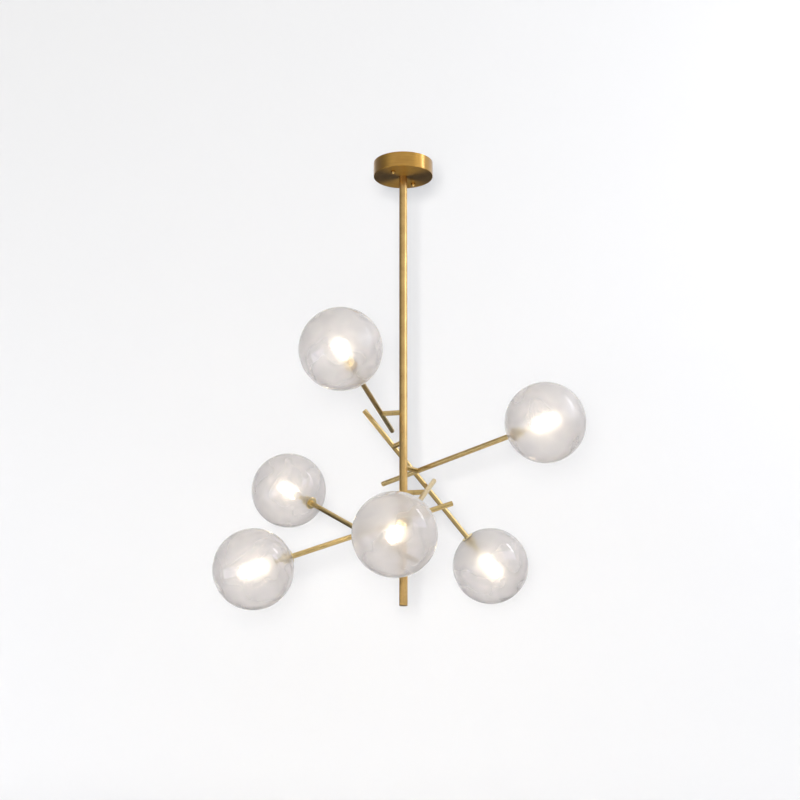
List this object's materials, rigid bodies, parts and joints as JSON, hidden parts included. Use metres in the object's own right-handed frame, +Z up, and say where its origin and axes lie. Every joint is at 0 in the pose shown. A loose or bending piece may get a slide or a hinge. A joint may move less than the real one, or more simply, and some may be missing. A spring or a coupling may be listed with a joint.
{
  "type": "branch chandelier",
  "caption": "Ceiling light: clear glass globes on swivelling straight brass arms set in a spiral round a plain brass stem that hangs from a round canopy.",
  "frame": {"origin": "centre of the two ceiling screw holes, in the strap's top face, which is the ceiling plane and lies on the stem's axis", "axes": "+Z up along the stem, +X to the right and +Y to the back as seen in the picture"},
  "size_m": [0.687, 0.5866, 0.9203],
  "materials": {
    "canopy_brass": "circular brushed, lacquered",
    "stem_brass": "satin, lacquered",
    "arm_brass": "satin, lacquered",
    "turned_brass": "turned, satin",
    "polished_brass": "polished",
    "spring_wire": "drawn wire",
    "zinc_plated_steel": "zinc plated",
    "terminal_plastic": "moulded",
    "wire_insulation": "smooth",
    "friction_fibre": "matt",
    "holder_ceramic": "unglazed",
    "lit_bulb": "frosted, lit",
    "clear_glass": "clear, blown"
  },
  "bodies": {
    "stem": {"ceiling_bracket": "zinc_plated_steel", "bracket_studs": "zinc_plated_steel", "cap_nuts": "polished_brass", "canopy": "canopy_brass", "stem_nipple": "turned_brass", "nipple_nut": "zinc_plated_steel", "stem_tube": "stem_brass", "stem_end_cap": "turned_brass", "terminal_block": "terminal_plastic", "stem_wiring": "wire_insulation", "swivel_washers": "friction_fibre", "swivel_nuts": "zinc_plated_steel", "post_1": "arm_brass", "post_2": "arm_brass", "post_3": "arm_brass", "post_4": "arm_brass", "post_5": "arm_brass", "post_6": "arm_brass"},
    "branch_1": {"arm_tube_1": "arm_brass", "neck_cap_1": "turned_brass", "clip_ring_1": "spring_wire", "lamp_rod_1": "turned_brass", "lampholder_1": "holder_ceramic", "bulb_1": "lit_bulb", "globe_1": "clear_glass"},
    "branch_2": {"arm_tube_2": "arm_brass", "neck_cap_2": "turned_brass", "clip_ring_2": "spring_wire", "lamp_rod_2": "turned_brass", "lampholder_2": "holder_ceramic", "bulb_2": "lit_bulb", "globe_2": "clear_glass"},
    "branch_3": {"arm_tube_3": "arm_brass", "neck_cap_3": "turned_brass", "clip_ring_3": "spring_wire", "lamp_rod_3": "turned_brass", "lampholder_3": "holder_ceramic", "bulb_3": "lit_bulb", "globe_3": "clear_glass"},
    "branch_4": {"arm_tube_4": "arm_brass", "neck_cap_4": "turned_brass", "clip_ring_4": "spring_wire", "lamp_rod_4": "turned_brass", "lampholder_4": "holder_ceramic", "bulb_4": "lit_bulb", "globe_4": "clear_glass"},
    "branch_5": {"arm_tube_5": "arm_brass", "neck_cap_5": "turned_brass", "clip_ring_5": "spring_wire", "lamp_rod_5": "turned_brass", "lampholder_5": "holder_ceramic", "bulb_5": "lit_bulb", "globe_5": "clear_glass"},
    "branch_6": {"arm_tube_6": "arm_brass", "neck_cap_6": "turned_brass", "clip_ring_6": "spring_wire", "lamp_rod_6": "turned_brass", "lampholder_6": "holder_ceramic", "bulb_6": "lit_bulb", "globe_6": "clear_glass"}
  },
  "joints": [
    {"name": "branch_1_swivel", "type": "hinge", "parent": "stem", "child": "branch_1", "pos_m": [-0.04287, 0.0099, -0.523], "axis": [-0.9744, 0.225, 0], "range_deg": [-30, 30]},
    {"name": "branch_2_swivel", "type": "hinge", "parent": "stem", "child": "branch_2", "pos_m": [-0.01929, 0.03955, -0.582], "axis": [-0.4384, 0.8988, 0], "range_deg": [-2.5, 2.5]},
    {"name": "branch_3_swivel", "type": "hinge", "parent": "stem", "child": "branch_3", "pos_m": [0.02828, 0.03371, -0.632], "axis": [0.6428, 0.766, 0], "range_deg": [-30, 7.5]},
    {"name": "branch_4_swivel", "type": "hinge", "parent": "stem", "child": "branch_4", "pos_m": [0.04304, -0.00915, -0.683], "axis": [0.9781, -0.2079, 0], "range_deg": [-2.5, 15]},
    {"name": "branch_5_swivel", "type": "hinge", "parent": "stem", "child": "branch_5", "pos_m": [0.0084, -0.04319, -0.74], "axis": [0.1908, -0.9816, 0], "range_deg": [-30, 10]},
    {"name": "branch_6_swivel", "type": "hinge", "parent": "stem", "child": "branch_6", "pos_m": [-0.02944, -0.0327, -0.792], "axis": [-0.6691, -0.7431, 0], "range_deg": [-30, 30]}
  ]
}
